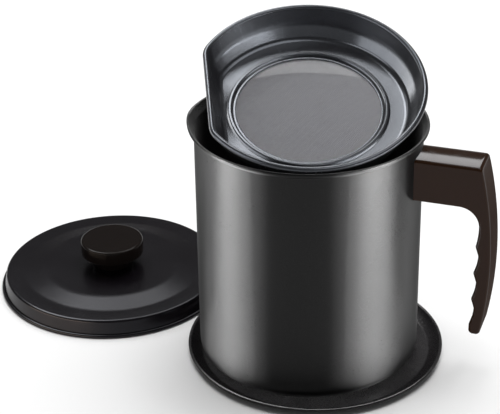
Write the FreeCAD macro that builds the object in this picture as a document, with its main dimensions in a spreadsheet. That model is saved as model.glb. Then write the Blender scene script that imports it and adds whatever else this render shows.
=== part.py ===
# Bacon grease container: a coated steel pot with a side handle, standing on a coaster tray,
# a D-shaped strainer pan tipped in its mouth, and its lid lying beside it.
# Millimetres.  Z is up, the pot's axis is Z, the handle points along +X, and z = 0 is the
# surface that the coaster and the lid stand on.
import FreeCAD, Part
import math
import os

import Sketcher
from FreeCAD import Placement, Rotation, Vector

doc = FreeCAD.newDocument("GreaseContainer")
sheet = doc.addObject("Spreadsheet::Sheet", "Sizes")

driving_sizes = [
    # alias, value, what it is
    ("sheet_wall", 0.6, "thickness of every pressed sheet but the tray's"),
    ("seat_gap", 0.3, "gap left between curved pieces that rest on each other"),
    ("slip_gap", 0.15, "gap round a piece that slides into a socket"),
    ("thread_gap", 0.05, "gap round a screw in its threads"),
    ("cut_margin", 0.6, "how far a cut runs past the face that it opens"),
    # coaster tray
    ("tray_thickness", 0.8, "tray sheet, and the height the pot stands at"),
    ("tray_margin", 10.5, "centre line of the tray's rolled lip, out from the pot's wall"),
    ("tray_lip_height", 3.7, "height of that centre line"),
    ("tray_lip_bead", 1.1, "radius of the rolled lip"),
    ("tray_slope", 33.0, "angle of the tray's sloping border, degrees"),
    ("tray_shift_along", 5.2, "the tray's centre from the pot's axis, along the handle"),
    ("tray_shift_across", -2.7, "the same, across the handle"),
    # pot
    ("body_radius", 66.7, "outside of the pot's wall"),
    ("pot_height", 151.3, "top of the pot's rim above the table"),
    ("pot_corner", 5.0, "outer radius of the pot's bottom corner"),
    ("foot_inset", 12.7, "inside edge of the ring the pot stands on, in from the wall"),
    ("base_recess", 1.0, "how far the middle of the base is pressed up"),
    ("rim_bead", 1.65, "radius of the pot's curled rim"),
    ("rim_flare", 1.65, "how far the rim's centre line stands out from the wall"),
    ("flare_height", 2.4, "height of the flare under the rim"),
    # handle
    ("arm_drop", 10.9, "top face of the handle's arm, below the pot's rim"),
    ("arm_depth", 26.0, "the arm, from its top face to its underside"),
    ("arm_root", 6.7, "how far the moulding runs inside the pot's wall before it is hollowed"),
    ("handle_width", 23.0, "thickness of the moulding, side to side"),
    ("finger_room", 36.3, "from the pot's wall to the top finger bump"),
    ("crook_set_out", 1.4, "inside of the crook, out from the top bump"),
    ("crook_radius", 12.0, "radius of the crook under the arm"),
    ("crook_drop", 24.2, "top bump, below the arm's underside"),
    ("finger_pitch", 17.4, "distance from bump to bump"),
    ("finger_lean", 0.5, "how far each bump stands in from the one above"),
    ("hollow_depth", 1.9, "deepest part of a finger hollow, in from the bump above it"),
    ("hollow_drop", 6.0, "how far below that bump the deepest part is"),
    ("finger_radius", 34.0, "radius of the long curve of a finger hollow"),
    ("back_set_out", 1.3, "outer edge of the arm's top face, out from the top bump"),
    ("grip_back_radius", 252.0, "radius of the long curve down the back of the grip"),
    ("end_drop", 6.3, "lower end of the grip, below the last bump"),
    ("end_thickness", 6.5, "the grip's lower end, from the last bump to its back"),
    ("end_flat", 0.5, "least flat left between the two roundings of that end"),
    ("bump_round", 2.7, "rounding of the bumps and of the hollows between them"),
    ("handle_round", 2.4, "rounding of the moulding's long edges"),
    ("round_step", 0.2, "how much larger the rounding at the ends is"),
    # bracket and handle screw
    ("pad_thickness", 1.2, "bracket plate welded to the pot"),
    ("pad_width", 13.0, "width of that plate"),
    ("pad_height", 18.0, "height of that plate"),
    ("tongue_length", 22.0, "tongue of the bracket, from the plate outward"),
    ("tongue_width", 10.0, "width of the tongue"),
    ("tongue_thickness", 3.0, "thickness of the tongue"),
    ("screw_along_tongue", 14.0, "the screw's distance from the plate"),
    ("screw_radius", 2.5, "both M5 screws"),
    ("screw_head_radius", 4.5, "radius of both pan heads"),
    ("screw_head_height", 3.2, "height of both pan heads"),
    ("slot_width", 1.1, "width of the slot in both heads"),
    ("slot_depth", 1.6, "depth of that slot"),
    ("head_seat", 5.0, "moulding left between the screw's head and the tongue"),
    # lid
    ("lid_fit", 1.15, "gap between the pot's rim and the foot of the lid's skirt"),
    ("lid_taper", 1.75, "how much narrower the skirt is at its top"),
    ("lid_bead", 1.25, "radius of the curled edge the lid lies on"),
    ("lid_corner", 1.8, "radius of the lid's top corner"),
    ("lid_band_height", 11.2, "height of the lid's flat border"),
    ("lid_band_width", 12.0, "width of that border"),
    ("lid_rise", 2.4, "how far the lid's middle is raised over the border"),
    ("lid_rise_width", 14.0, "width of the slope up to the middle"),
    ("lid_hole_gap", 0.3, "gap round the knob's screw in the lid"),
    ("lid_bearing", 166.26, "compass angle of the lid from the tray, from the handle, degrees"),
    ("lid_apart", 4.92, "from the tray's rolled lip to the lid's curled edge, in plan"),
    # knob
    ("knob_radius", 20.3, "radius of the knob"),
    ("knob_neck_radius", 12.0, "radius of the knob's neck"),
    ("knob_neck_height", 7.6, "height of the neck"),
    ("knob_head_height", 10.0, "height of the knob over its neck"),
    ("knob_round", 1.6, "rounding of the knob's edges"),
    ("knob_cove", 3.0, "hollow curve between the neck and the knob"),
    ("insert_radius", 4.2, "radius of the threaded insert in the knob"),
    ("insert_length", 9.0, "length of that insert"),
    ("screw_bite", 7.2, "how far the knob's screw reaches into the insert"),
    ("washer_radius", 7.0, "radius of the washer under the lid"),
    ("washer_thickness", 1.0, "thickness of that washer"),
    # strainer pan
    ("pan_bead", 1.65, "radius of the pan's rolled rim"),
    ("pan_set_in", 2.35, "centre line of that rim, in from the pot's"),
    ("pan_cut", 8.75, "how much the straight side takes off the rim's radius"),
    ("pan_wall_inset", 1.0, "wall's outside, in from the rim's centre line"),
    ("pan_corner", 15.0, "rim's radius where the straight side meets the round one"),
    ("pan_depth", 19.0, "pan floor below the rim's centre line"),
    ("pan_foot_inset", 5.0, "foot of the round wall, in from the rim's centre line"),
    ("chord_foot_inset", 4.25, "the same for the straight side"),
    ("pan_floor_round", 6.0, "radius between the pan's wall and its floor"),
    ("rib_inset", 15.5, "crest of the rib round the strainer well, in from the wall's foot"),
    ("rib_height", 1.7, "how far the rib stands over the floor"),
    ("rib_width", 3.4, "width of the rib"),
    ("well_depth", 1.6, "well's ledge below the pan's floor"),
    ("mesh_ledge", 1.8, "width of the ledge that the mesh lies on"),
    ("mesh_thickness", 0.6, "thickness of the woven mesh"),
    ("retainer_thickness", 0.8, "thickness of the ring over the mesh's edge"),
    # how the pan lies
    ("pan_tilt", 20.4, "angle of the pan's rim from level, degrees"),
    ("pan_facing", -70.8, "compass angle of the pan's low side from the handle, degrees"),
    ("pan_turn", 3.9, "turn of the straight side about the pan's own axis, degrees"),
    ("lean_angle", 23.6, "where the pan's rim lies on the pot's, from the crest, degrees"),
]
for row, (alias, number, meaning) in enumerate(driving_sizes, start=1):
    sheet.set("A%d" % row, meaning)
    sheet.set("B%d" % row, str(number))
    sheet.setAlias("B%d" % row, alias)
doc.recompute()

on_axis = "0"
near = 1e-3     # how closely an edge or a corner has to lie where it is looked for


def named(words):
    """A formula in the sheet's names, as FreeCAD writes it."""
    padded = words
    for alias, number, meaning in driving_sizes:
        padded = replace_word(padded, alias)
    return padded


def replace_word(words, alias):
    """Put the sheet's name before one alias wherever it stands as a whole word."""
    out = []
    word = ""
    for letter in words + " ":
        if letter.isalnum() or letter in "_.":
            word += letter
            continue
        out.append("Sizes." + alias if word == alias else word)
        out.append(letter)
        word = ""
    return "".join(out)[:-1]


def amount(words):
    """The number that a formula gives now."""
    result = sheet.evalExpression(named(words))
    return float(getattr(result, "Value", result))


def bind(thing, field, words):
    thing.setExpression(field, named(words))


# ---------------------------------------------------------------- sketches
def new_body(name):
    return doc.addObject("PartDesign::Body", name)


def new_sketch(body, name, plane):
    sketch = body.newObject("Sketcher::SketchObject", name)
    origin_plane = [item for item in body.Origin.OriginFeatures if item.Role == plane][0]
    sketch.AttachmentSupport = [(origin_plane, "")]
    sketch.MapMode = "FlatFace"
    return sketch


def hold_point(sketch, place, words, edge, end):
    """Tie one end of an edge to a formula for its place along one axis."""
    value = amount(words)
    kind = "DistanceX" if place == 0 else "DistanceY"
    if words == on_axis:
        axis = -2 if place == 0 else -1
        sketch.addConstraint(Sketcher.Constraint("PointOnObject", edge, end, axis))
        return
    index = sketch.addConstraint(Sketcher.Constraint(kind, -1, 1, edge, end, value))
    bind(sketch, "Constraints[%d]" % index, words)


def draw_outline(sketch, corners):
    """A closed outline.  Each corner is (across, up) in formulas, or (across, up, radius,
    side), which leaves the corner on an arc with its centre on the left (1) or right (-1)."""
    places = [(amount(corner[0]), amount(corner[1])) for corner in corners]
    ends = []
    for index, corner in enumerate(corners):
        start = Vector(places[index][0], places[index][1], 0)
        stop = places[(index + 1) % len(corners)]
        stop = Vector(stop[0], stop[1], 0)
        if len(corner) == 2:
            edge = sketch.addGeometry(Part.LineSegment(start, stop), False)
            ends.append((edge, 1, 2))
            continue
        radius = amount(corner[2])
        chord = stop - start
        middle = (start + stop) * 0.5
        rise = math.sqrt(max(radius ** 2 - (chord.Length / 2) ** 2, 0.0))
        left = Vector(-chord.y, chord.x, 0).normalize()
        centre = middle + left * rise * corner[3]
        circle = Part.Circle(centre, Vector(0, 0, 1), radius)
        first, last = (start, stop) if corner[3] > 0 else (stop, start)
        turn_from = math.atan2(first.y - centre.y, first.x - centre.x)
        turn_to = math.atan2(last.y - centre.y, last.x - centre.x)
        if turn_to < turn_from:
            turn_to += 2 * math.pi
        edge = sketch.addGeometry(Part.ArcOfCircle(circle, turn_from, turn_to), False)
        ends.append((edge, 1, 2) if corner[3] > 0 else (edge, 2, 1))
        held = sketch.addConstraint(Sketcher.Constraint("Radius", edge, radius))
        bind(sketch, "Constraints[%d]" % held, corner[2])
    for index, corner in enumerate(corners):
        edge, start, stop = ends[index]
        following = ends[(index + 1) % len(ends)]
        sketch.addConstraint(Sketcher.Constraint("Coincident", edge, stop, following[0], following[1]))
        hold_point(sketch, 0, corner[0], edge, start)
        hold_point(sketch, 1, corner[1], edge, start)


def revolve(body, name, corners):
    """Turn a closed outline in the XZ plane about the body's Z axis."""
    sketch = new_sketch(body, name + "Sketch", "XZ_Plane")
    draw_outline(sketch, corners)
    turned = body.newObject("PartDesign::Revolution", name)
    turned.Profile = sketch
    turned.ReferenceAxis = (sketch, ["V_Axis"])
    turned.Angle = 360.0
    return turned


def edges_where(shape, wanted):
    """Names of the edges for which wanted(edge) is true."""
    return ["Edge%d" % (index + 1) for index, edge in enumerate(shape.Edges) if wanted(edge)]


def round_edges(body, name, wanted, radius):
    """Fillet the edges that wanted() picks."""
    doc.recompute()
    base = body.Tip
    fillet = body.newObject("PartDesign::Fillet", name)
    fillet.Base = (base, edges_where(base.Shape, wanted))
    bind(fillet, "Radius", radius)
    return fillet


def edge_middle(edge):
    return edge.valueAt((edge.FirstParameter + edge.LastParameter) / 2)


# ---------------------------------------------------------------- coaster tray
tray_radius = "(body_radius + tray_margin)"


def make_coaster_tray():
    body = new_body("CoasterTray")
    run = "tray_lip_height / tan(tray_slope * 1 deg)"
    floor_edge = tray_radius + " - " + run
    bend = "tray_thickness * tan(tray_slope * 0.5 deg)"
    into_lip = "sqrt(tray_lip_bead ^ 2 - tray_thickness ^ 2)"
    revolve(body, "TrayDish", [
        (on_axis, on_axis),
        (floor_edge, on_axis),
        (tray_radius + " - tray_lip_bead * cos(tray_slope * 1 deg)",
         "tray_lip_height - tray_lip_bead * sin(tray_slope * 1 deg)", "tray_lip_bead", 1),
        (tray_radius + " + tray_lip_bead", "tray_lip_height", "tray_lip_bead", 1),
        (tray_radius, "tray_lip_height + tray_lip_bead", "tray_lip_bead", 1),
        (tray_radius + " - tray_thickness * sin(tray_slope * 1 deg) - "
         + into_lip + " * cos(tray_slope * 1 deg)",
         "tray_lip_height + tray_thickness * cos(tray_slope * 1 deg) - "
         + into_lip + " * sin(tray_slope * 1 deg)"),
        (floor_edge + " - " + bend, "tray_thickness"),
        (on_axis, "tray_thickness"),
    ])
    bind(body, "Placement.Base.x", "tray_shift_along")
    bind(body, "Placement.Base.y", "tray_shift_across")
    return body


# ---------------------------------------------------------------- pot
rim_radius = "(body_radius + rim_flare)"
rim_height = "(pot_height - rim_bead)"
foot_radius = "(body_radius - foot_inset)"
stand = "tray_thickness"


def make_pot_shell():
    body = new_body("PotShell")
    flare_length = "sqrt(rim_flare ^ 2 + flare_height ^ 2)"
    revolve(body, "PotWall", [
        (on_axis, stand + " + base_recess"),
        (foot_radius + " - base_recess", stand + " + base_recess"),
        (foot_radius, stand),
        ("body_radius - pot_corner", stand, "pot_corner", 1),
        ("body_radius", stand + " + pot_corner"),
        ("body_radius", rim_height + " - flare_height"),
        (rim_radius + " - rim_bead * rim_flare / " + flare_length,
         rim_height + " - rim_bead * flare_height / " + flare_length, "rim_bead", 1),
        (rim_radius + " + rim_bead", rim_height, "rim_bead", 1),
        (rim_radius, "pot_height", "rim_bead", 1),
        (rim_radius + " - rim_bead", rim_height),
        ("body_radius - sheet_wall", rim_height + " - flare_height"),
        ("body_radius - sheet_wall", stand + " + pot_corner", "pot_corner - sheet_wall", -1),
        ("body_radius - pot_corner", stand + " + sheet_wall"),
        (foot_radius, stand + " + sheet_wall"),
        (foot_radius + " - base_recess", stand + " + sheet_wall + base_recess"),
        (on_axis, stand + " + sheet_wall + base_recess"),
    ])
    return body


# ---------------------------------------------------------------- bracket, handle and screw
arm_top = "(pot_height - arm_drop)"
arm_underside = "(pot_height - arm_drop - arm_depth)"
arm_middle = "(pot_height - arm_drop - arm_depth / 2)"
pad_face = "(body_radius + pad_thickness)"
screw_place = "(" + pad_face + " + screw_along_tongue)"
head_height = "(" + arm_middle + " - tongue_thickness / 2 - head_seat)"


def make_box(name, length, width, height, low_x, low_y, low_z):
    box = doc.addObject("Part::Box", name)
    bind(box, "Length", length)
    bind(box, "Width", width)
    bind(box, "Height", height)
    bind(box, "Placement.Base.x", low_x)
    bind(box, "Placement.Base.y", low_y)
    bind(box, "Placement.Base.z", low_z)
    return box


def make_rod(name, radius, length, at_x, at_y, at_z):
    rod = doc.addObject("Part::Cylinder", name)
    bind(rod, "Radius", radius)
    bind(rod, "Height", length)
    bind(rod, "Placement.Base.x", at_x)
    bind(rod, "Placement.Base.y", at_y)
    bind(rod, "Placement.Base.z", at_z)
    return rod


def join(kind, name, base, tool):
    both = doc.addObject("Part::" + kind, name)
    both.Base = base
    both.Tool = tool
    return both


def make_pad_blank(name, gap):
    """A curved plate that hugs the pot's wall, larger by gap on every open side."""
    low_z = arm_middle + " - pad_height / 2 - " + gap
    block = make_box(name + "Block", pad_face + " + " + gap, "pad_width + 2 * " + gap,
                     "pad_height + 2 * " + gap, on_axis, "-pad_width / 2 - " + gap, low_z)
    outer = make_rod(name + "Outer", pad_face + " + " + gap, "pad_height + 2 * " + gap,
                     on_axis, on_axis, low_z)
    return join("Common", name + "Blank", block, outer)


def make_tongue(name, gap):
    """The tongue that stands out of the plate, larger by gap all round."""
    return make_box(name, "pad_thickness / 2 + tongue_length + " + gap,
                    "tongue_width + 2 * " + gap, "tongue_thickness + 2 * " + gap,
                    pad_face + " - pad_thickness / 2", "-tongue_width / 2 - " + gap,
                    arm_middle + " - tongue_thickness / 2 - " + gap)


def make_handle_bracket():
    pot_side = make_rod("BracketPotSide", "body_radius", "pad_height", on_axis, on_axis,
                        arm_middle + " - pad_height / 2")
    plate = join("Cut", "BracketPlate", make_pad_blank("Bracket", on_axis), pot_side)
    whole = join("Fuse", "BracketWhole", plate, make_tongue("BracketTongue", on_axis))
    thread = make_rod("BracketThread", "screw_radius + thread_gap", "tongue_thickness",
                      screw_place, on_axis, arm_middle + " - tongue_thickness / 2")
    return join("Cut", "HandleBracket", whole, thread)


bump_count = 4
top_bump_reach = "(body_radius + finger_room)"
top_bump_height = "(%s - crook_drop)" % arm_underside
last_bump_reach = "(%s - %d * finger_lean)" % (top_bump_reach, bump_count - 1)
grip_end = "(%s - %d * finger_pitch - end_drop)" % (top_bump_height, bump_count - 1)
crook_reach = "(%s + crook_set_out)" % top_bump_reach
grip_top_reach = "(%s + back_set_out)" % top_bump_reach
grip_end_reach = "(%s + end_thickness)" % last_bump_reach


def finger_corners():
    """The gripping side: each bump, then the deep part of the hollow under it."""
    corners = []
    for bump in range(bump_count):
        reach = "%s - %d * finger_lean" % (top_bump_reach, bump)
        height = "%s - %d * finger_pitch" % (top_bump_height, bump)
        corners.append((reach, height))
        if bump < bump_count - 1:
            corners.append((reach + " + hollow_depth", height + " - hollow_drop",
                            "finger_radius", -1))
    return corners


def make_handle_blank():
    """The moulding before its socket: an open hook with four finger bumps."""
    body = new_body("HandleBlank")
    sketch = new_sketch(body, "HandleSketch", "XZ_Plane")
    top_hollow_height = "(crook_drop - crook_radius)"
    top_hollow_radius = "(crook_set_out ^ 2 + %s ^ 2) / (2 * crook_set_out)" % top_hollow_height
    draw_outline(sketch, [
        ("body_radius - arm_root", arm_underside),
        (crook_reach + " - crook_radius", arm_underside, "crook_radius", -1),
        (crook_reach, arm_underside + " - crook_radius", top_hollow_radius, -1),
    ] + finger_corners() + [
        (last_bump_reach, grip_end),
        (grip_end_reach, grip_end, "grip_back_radius", 1),
        (grip_top_reach, arm_top),
        ("body_radius - arm_root", arm_top),
    ])
    pad = body.newObject("PartDesign::Pad", "HandlePad")
    pad.Profile = sketch
    pad.Midplane = True
    bind(pad, "Length", "handle_width")
    return body


def make_handle_grip():
    body = make_handle_blank()
    half = amount("handle_width / 2")
    root = amount("body_radius - arm_root")
    top = amount(arm_top)
    bottom = amount(grip_end)
    first = amount(top_bump_height)
    grip_middle = amount("(%s + %s) / 2" % (crook_reach, grip_end_reach))

    def is_bump(edge):
        middle = edge_middle(edge)
        across = abs(middle.y) < near and edge.Length > half
        return across and middle.x < grip_middle and bottom + near < middle.z < first + near

    def is_end(edge):
        middle = edge_middle(edge)
        ends = abs(middle.z - bottom) < near or abs(middle.z - top) < near
        return abs(middle.y) < near and ends and middle.x > root + near

    def is_side(edge):
        middle = edge_middle(edge)
        return abs(abs(middle.y) - half) < near and middle.x > root + near

    round_side = "min(handle_round; bump_round - round_step; (end_thickness - end_flat) / 2 - round_step)"
    round_edges(body, "HandleBumps", is_bump, "bump_round")
    round_edges(body, "HandleEnds", is_end, round_side + " + round_step")
    round_edges(body, "HandleSides", is_side, round_side)

    pot_room = make_rod("HandlePotRoom", "body_radius + slip_gap", "arm_depth + 2 * cut_margin",
                        on_axis, on_axis, arm_underside + " - cut_margin")
    socket = join("Fuse", "HandleSocket", make_pad_blank("Socket", "slip_gap"),
                  make_tongue("SocketTongue", "slip_gap"))
    under = "(%s - cut_margin)" % arm_underside
    shank = make_rod("HandleShankHole", "screw_radius + slip_gap",
                     arm_middle + " + tongue_thickness - " + under, screw_place, on_axis, under)
    head = make_rod("HandleHeadHole", "screw_head_radius + slip_gap", head_height + " - " + under,
                    screw_place, on_axis, under)
    holes = join("Fuse", "HandleHoles", shank, head)
    rooms = join("Fuse", "HandleRooms", join("Fuse", "HandleInside", pot_room, socket), holes)
    return join("Cut", "HandleGrip", body, rooms)


def make_pan_screw(name, length):
    """A pan-headed screw along Z.  Its head's seat is at z = 0 and the shank goes up."""
    body = new_body(name)
    revolve(body, name + "Turned", [
        (on_axis, "-screw_head_height"),
        ("screw_head_radius - screw_head_height / 2", "-screw_head_height",
         "screw_head_height / 2", 1),
        ("screw_head_radius", "-screw_head_height / 2"),
        ("screw_head_radius", on_axis),
        ("screw_radius", on_axis),
        ("screw_radius", length),
        (on_axis, length),
    ])
    slot = new_sketch(body, name + "SlotSketch", "XY_Plane")
    draw_outline(slot, [
        ("-screw_head_radius", "-slot_width / 2"),
        ("screw_head_radius", "-slot_width / 2"),
        ("screw_head_radius", "slot_width / 2"),
        ("-screw_head_radius", "slot_width / 2"),
    ])
    bind(slot, "AttachmentOffset.Base.z", "-screw_head_height")
    pocket = body.newObject("PartDesign::Pocket", name + "Slot")
    pocket.Profile = slot
    pocket.Reversed = True
    bind(pocket, "Length", "slot_depth")
    return body


def make_handle_screw():
    screw = make_pan_screw("HandleScrew", "head_seat + tongue_thickness")
    bind(screw, "Placement.Base.x", screw_place)
    bind(screw, "Placement.Base.z", head_height)
    return screw


# ---------------------------------------------------------------- lid and knob
lid_foot_radius = "(%s + rim_bead + lid_fit)" % rim_radius
lid_edge_radius = "(%s + lid_bead)" % lid_foot_radius
lid_skirt_top = "(%s + sheet_wall - lid_taper)" % lid_foot_radius
lid_top = "(lid_band_height + lid_rise)"
lid_bottom = "(%s - sheet_wall)" % lid_top
lid_distance = "(%s + %s + lid_apart)" % (tray_radius, lid_edge_radius)


def place_with_lid(thing, height):
    bind(thing, "Placement.Base.x", "tray_shift_along + %s * cos(lid_bearing * 1 deg)" % lid_distance)
    bind(thing, "Placement.Base.y", "tray_shift_across + %s * sin(lid_bearing * 1 deg)" % lid_distance)
    bind(thing, "Placement.Base.z", height)


def make_lid_shell():
    body = new_body("LidShell")
    corner_centre = lid_skirt_top + " - lid_corner"
    rise_foot = lid_skirt_top + " - lid_band_width"
    rise_top = rise_foot + " - lid_rise_width"
    hole = "screw_radius + lid_hole_gap"
    revolve(body, "LidSheet", [
        (lid_foot_radius, "lid_bead", "lid_bead", 1),
        (lid_edge_radius, on_axis, "lid_bead", 1),
        (lid_edge_radius + " + lid_bead", "lid_bead", "lid_bead", 1),
        (lid_foot_radius + " + sheet_wall",
         "lid_bead + sqrt(lid_bead ^ 2 - (lid_bead - sheet_wall) ^ 2)"),
        (lid_skirt_top, "lid_band_height - lid_corner", "lid_corner", 1),
        (corner_centre, "lid_band_height"),
        (rise_foot, "lid_band_height"),
        (rise_top, lid_top),
        (hole, lid_top),
        (hole, lid_bottom),
        (rise_top, lid_bottom),
        (rise_foot, "lid_band_height - sheet_wall"),
        (corner_centre, "lid_band_height - sheet_wall", "lid_corner - sheet_wall", -1),
        (lid_skirt_top + " - sheet_wall", "lid_band_height - lid_corner"),
    ])
    place_with_lid(body, on_axis)
    return body


def make_lid_knob():
    body = new_body("LidKnob")
    revolve(body, "KnobTurned", [
        ("insert_radius + thread_gap", on_axis),
        ("knob_neck_radius", on_axis),
        ("knob_neck_radius", "knob_neck_height - knob_cove", "knob_cove", -1),
        ("knob_neck_radius + knob_cove", "knob_neck_height"),
        ("knob_radius - knob_round", "knob_neck_height", "knob_round", 1),
        ("knob_radius", "knob_neck_height + knob_round"),
        ("knob_radius", "knob_neck_height + knob_head_height - knob_round", "knob_round", 1),
        ("knob_radius - knob_round", "knob_neck_height + knob_head_height"),
        (on_axis, "knob_neck_height + knob_head_height"),
        (on_axis, "insert_length + slip_gap"),
        ("insert_radius + thread_gap", "insert_length + slip_gap"),
    ])
    place_with_lid(body, lid_top)
    return body


def make_knob_insert():
    body = new_body("KnobInsert")
    bore = "screw_radius + thread_gap"
    revolve(body, "InsertTurned", [
        (bore, on_axis),
        ("insert_radius", on_axis),
        ("insert_radius", "insert_length"),
        (bore, "insert_length"),
    ])
    place_with_lid(body, lid_top)
    return body


def make_knob_washer():
    body = new_body("KnobWasher")
    hole = "screw_radius + slip_gap"
    revolve(body, "WasherTurned", [
        (hole, "-washer_thickness"),
        ("washer_radius", "-washer_thickness"),
        ("washer_radius", on_axis),
        (hole, on_axis),
    ])
    place_with_lid(body, lid_bottom)
    return body


def make_knob_screw():
    screw = make_pan_screw("KnobScrew", "washer_thickness + sheet_wall + screw_bite")
    place_with_lid(screw, lid_bottom + " - washer_thickness")
    return screw


# ---------------------------------------------------------------- strainer
pan_radius = "(%s - pan_set_in)" % rim_radius
pan_chord = "(%s - pan_cut)" % pan_radius
pan_foot_radius = "(%s - pan_foot_inset)" % pan_radius
rib_radius = "(%s - rib_inset)" % pan_foot_radius
well_radius = "(%s - rib_width / 2)" % rib_radius
ledge_top = "(-pan_depth - well_depth)"


def place_in_mouth(thing, height):
    """Tip a piece of the strainer as the pan lies, its low edge on the pot's rim."""
    facing = Rotation(Vector(0, 0, 1), amount("pan_facing") + 90)
    tip = Rotation(Vector(1, 0, 0), amount("pan_tilt"))
    turn = Rotation(Vector(0, 0, 1), amount("pan_turn"))
    lean = math.radians(amount("lean_angle"))
    tilt = math.radians(amount("pan_tilt"))
    apart = amount("rim_bead + pan_bead + seat_gap")
    low_reach = amount(rim_radius) - apart * math.sin(lean)
    low_height = amount(rim_height) + apart * math.cos(lean)
    forward = low_reach - amount(pan_radius) * math.cos(tilt)
    centre = facing.multVec(Vector(0, -forward, 0))
    centre.z = low_height + amount(pan_radius) * math.sin(tilt)
    rotation = facing * tip * turn
    centre += rotation.multVec(Vector(0, 0, amount(height)))
    thing.Placement = Placement(centre, rotation)


def make_bowl(name, shell):
    """The pan as a solid block, smaller by shell all round: a short cone with one side cut
    straight, its two upright corners and its floor's edge rounded."""
    body = new_body(name)
    foot = pan_foot_radius + " - " + shell
    floor = "-pan_depth - sheet_wall + " + shell
    revolve(body, name + "Cone", [
        (on_axis, floor),
        (foot, floor),
        (pan_radius + " - pan_wall_inset - " + shell, on_axis),
        (on_axis, on_axis),
    ])
    sketch = new_sketch(body, name + "SideSketch", "XZ_Plane")
    draw_outline(sketch, [
        ("-" + pan_radius, floor),
        ("-(%s - chord_foot_inset - %s)" % (pan_chord, shell), floor),
        ("-(%s - pan_wall_inset - %s)" % (pan_chord, shell), on_axis),
        ("-" + pan_radius, on_axis),
    ])
    side = body.newObject("PartDesign::Pocket", name + "Side")
    side.Profile = sketch
    side.Midplane = True
    bind(side, "Length", "2 * " + pan_radius)
    doc.recompute()
    floor_height = amount(floor)

    def is_upright(edge):
        low, high = sorted(vertex.Z for vertex in edge.Vertexes)
        middle = edge_middle(edge)
        leans = abs(low - floor_height) < near and abs(high) < near
        return leans and middle.x < 0 and abs(middle.y) > near

    def is_floor_edge(edge):
        return all(abs(vertex.Z - floor_height) < near for vertex in edge.Vertexes)

    round_edges(body, name + "Corners", is_upright, "pan_corner - pan_wall_inset - " + shell)
    round_edges(body, name + "Floor", is_floor_edge, "pan_floor_round + sheet_wall - " + shell)
    return body


def make_rolled_rim():
    """The pan's rolled rim: a wire along the D-shaped top edge."""
    body = new_body("PanRolledRim")
    reach = amount(pan_radius)
    chord = amount(pan_chord)
    corner = amount("pan_corner")
    corner_x = -(chord - corner)
    corner_y = math.sqrt((reach - corner) ** 2 - corner_x ** 2)
    meet = math.atan2(corner_y, corner_x)
    path = new_sketch(body, "RimPath", "XY_Plane")
    up = Vector(0, 0, 1)
    round_side = path.addGeometry(
        Part.ArcOfCircle(Part.Circle(Vector(), up, reach), -meet, meet), False)
    upper = path.addGeometry(
        Part.ArcOfCircle(Part.Circle(Vector(corner_x, corner_y, 0), up, corner), meet, math.pi), False)
    lower = path.addGeometry(
        Part.ArcOfCircle(Part.Circle(Vector(corner_x, -corner_y, 0), up, corner), math.pi,
                         2 * math.pi - meet), False)
    straight = path.addGeometry(
        Part.LineSegment(Vector(-chord, corner_y, 0), Vector(-chord, -corner_y, 0)), False)
    path.addConstraint(Sketcher.Constraint("Coincident", round_side, 3, -1, 1))
    path.addConstraint(Sketcher.Constraint("Tangent", round_side, 2, upper, 1))
    path.addConstraint(Sketcher.Constraint("Tangent", upper, 2, straight, 1))
    path.addConstraint(Sketcher.Constraint("Tangent", straight, 2, lower, 1))
    path.addConstraint(Sketcher.Constraint("Tangent", lower, 2, round_side, 1))
    path.addConstraint(Sketcher.Constraint("Equal", upper, lower))
    path.addConstraint(Sketcher.Constraint("Vertical", straight))
    for edge, radius in ((round_side, pan_radius), (upper, "pan_corner")):
        held = path.addConstraint(Sketcher.Constraint("Radius", edge, amount(radius)))
        bind(path, "Constraints[%d]" % held, radius)
    held = path.addConstraint(Sketcher.Constraint("DistanceX", straight, 1, -1, 1, chord))
    bind(path, "Constraints[%d]" % held, pan_chord)
    section = new_sketch(body, "RimSection", "XZ_Plane")
    circle = section.addGeometry(Part.Circle(Vector(-chord, 0, 0), up, amount("pan_bead")), False)
    held = section.addConstraint(Sketcher.Constraint("Radius", circle, amount("pan_bead")))
    bind(section, "Constraints[%d]" % held, "pan_bead")
    held = section.addConstraint(Sketcher.Constraint("DistanceX", circle, 3, -1, 1, chord))
    bind(section, "Constraints[%d]" % held, pan_chord)
    section.addConstraint(Sketcher.Constraint("PointOnObject", circle, 3, -1))
    doc.recompute()
    pipe = body.newObject("PartDesign::AdditivePipe", "RimPipe")
    pipe.Profile = section
    pipe.Spine = path
    return body


def make_strainer_pan():
    shell = join("Cut", "PanShell", make_bowl("PanOuter", on_axis), make_bowl("PanInner", "sheet_wall"))
    hole = make_rod("PanWellHole", rib_radius, "sheet_wall + 2 * cut_margin", on_axis, on_axis,
                    "-pan_depth - sheet_wall - cut_margin")
    floor = join("Cut", "PanFloor", shell, hole)
    well = new_body("PanWell")
    rib_edge = rib_radius + " + rib_width / 2"
    rib_arc = "(rib_width ^ 2 / 4 + rib_height ^ 2) / (2 * rib_height)"
    revolve(well, "WellPressed", [
        (rib_edge, "-pan_depth - sheet_wall"),
        (rib_edge, "-pan_depth", rib_arc, 1),
        (rib_radius, "-pan_depth + rib_height", rib_arc, 1),
        (well_radius, "-pan_depth"),
        (well_radius, ledge_top),
        (well_radius + " - mesh_ledge", ledge_top),
        (well_radius + " - mesh_ledge", ledge_top + " - sheet_wall"),
        (well_radius + " + sheet_wall", ledge_top + " - sheet_wall"),
        (well_radius + " + sheet_wall", "-pan_depth - sheet_wall"),
    ])
    body = join("Fuse", "PanFloorAndWell", floor, well)
    pan = join("Fuse", "StrainerPan", body, make_rolled_rim())
    place_in_mouth(pan, on_axis)
    return pan


def make_disc(name, outer, inner, thickness):
    body = new_body(name)
    revolve(body, name + "Turned", [
        (inner, on_axis),
        (outer, on_axis),
        (outer, thickness),
        (inner, thickness),
    ])
    return body


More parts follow.
